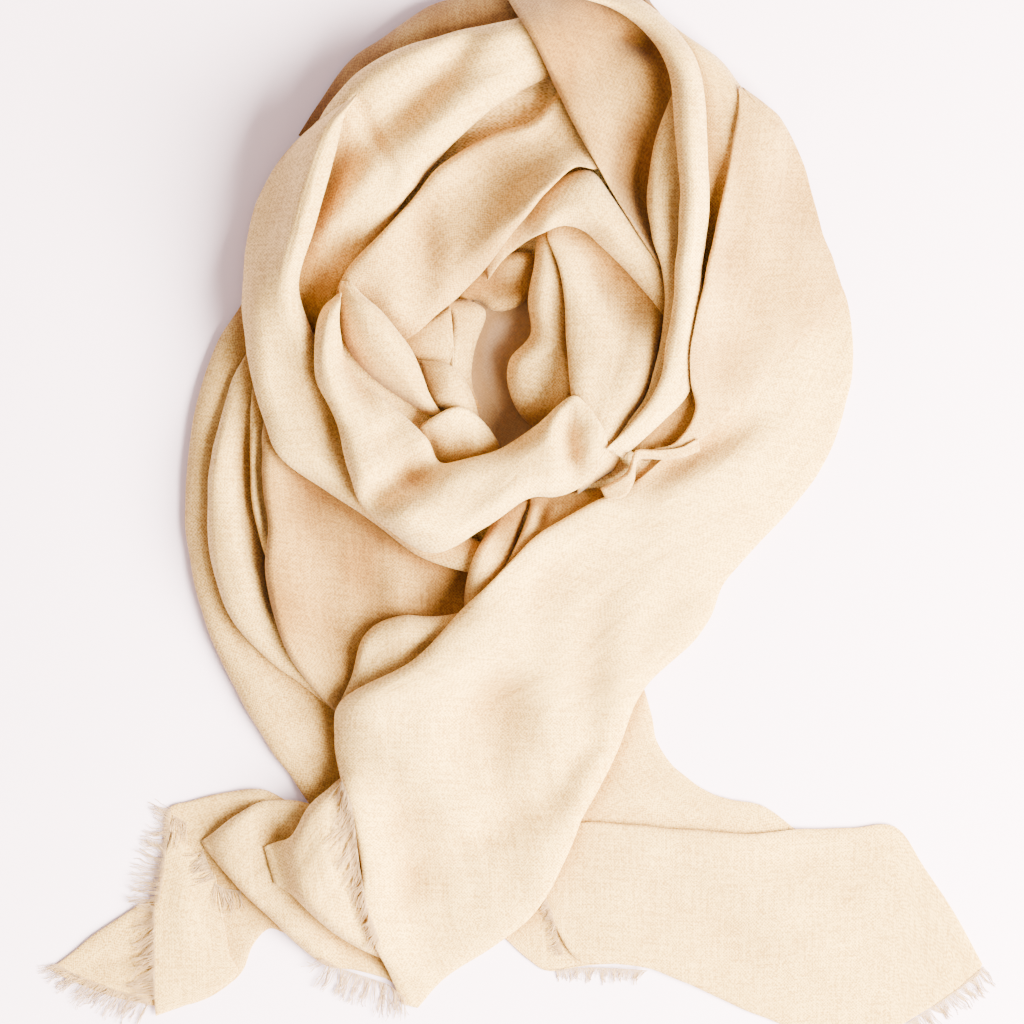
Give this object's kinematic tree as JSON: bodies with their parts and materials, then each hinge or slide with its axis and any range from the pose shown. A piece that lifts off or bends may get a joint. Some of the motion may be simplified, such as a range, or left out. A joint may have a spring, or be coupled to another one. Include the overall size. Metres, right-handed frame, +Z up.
{
  "type": "pashmina shawl",
  "caption": "Long gauzy pashmina shawl with frayed ends, laid flat in a loose coil with both ends drawn out below it.",
  "frame": {"origin": "centre of the footprint, on the table top it lies on", "axes": "+Z up from the table; +Y towards the top of the coil, away from the two frayed ends; +X towards the right-hand end"},
  "size_m": [0.483, 0.5319, 0.0658],
  "materials": {
    "gauze": "fine plain-woven gauze, undyed cream, soft and matt with a faint sheen",
    "fringe": "loose frayed yarn ends, cream",
    "hidden_cloth": "the same gauze, shaded inside the heap"
  },
  "bodies": {
    "root": {"hidden_layers_core": "hidden_cloth", "middle_floor": "gauze", "right_tail_under": "gauze", "fringe_under_end": "fringe", "right_tail_flap": "gauze", "right_tail_main": "gauze", "fringe_right_end": "fringe", "fringe_under_side": "fringe", "left_tail_base": "gauze", "fringe_left_end": "fringe", "fringe_left_corner": "fringe", "left_tail_top": "gauze", "fringe_left_inner": "fringe", "back_band": "gauze", "left_sweep_outer": "gauze", "left_sweep_fold": "gauze", "left_pleat": "gauze", "centre_panel": "gauze", "under_coil_left": "gauze", "under_coil_right": "gauze", "tail_pocket": "gauze", "front_tail_left": "gauze", "tail_lobe": "gauze", "outer_coil_left": "gauze", "crown_fold_left": "gauze", "hole_wall_top": "gauze", "hole_wall_left": "gauze", "hole_step": "gauze", "hole_wall_front": "gauze", "inner_arch": "gauze", "inner_panel": "gauze", "hole_roll_right": "gauze", "inner_wall_left": "gauze", "box_pleat": "gauze", "inner_coil_front": "gauze", "inner_coil_right": "gauze", "right_coil_valley": "gauze", "top_right_panel": "gauze", "right_coil_inner": "gauze", "right_coil_mid": "gauze", "front_tail": "gauze", "fringe_front_side": "fringe", "fringe_front_end": "fringe", "outer_right_panel": "gauze", "wavy_edge": "gauze"}
  },
  "joints": []
}
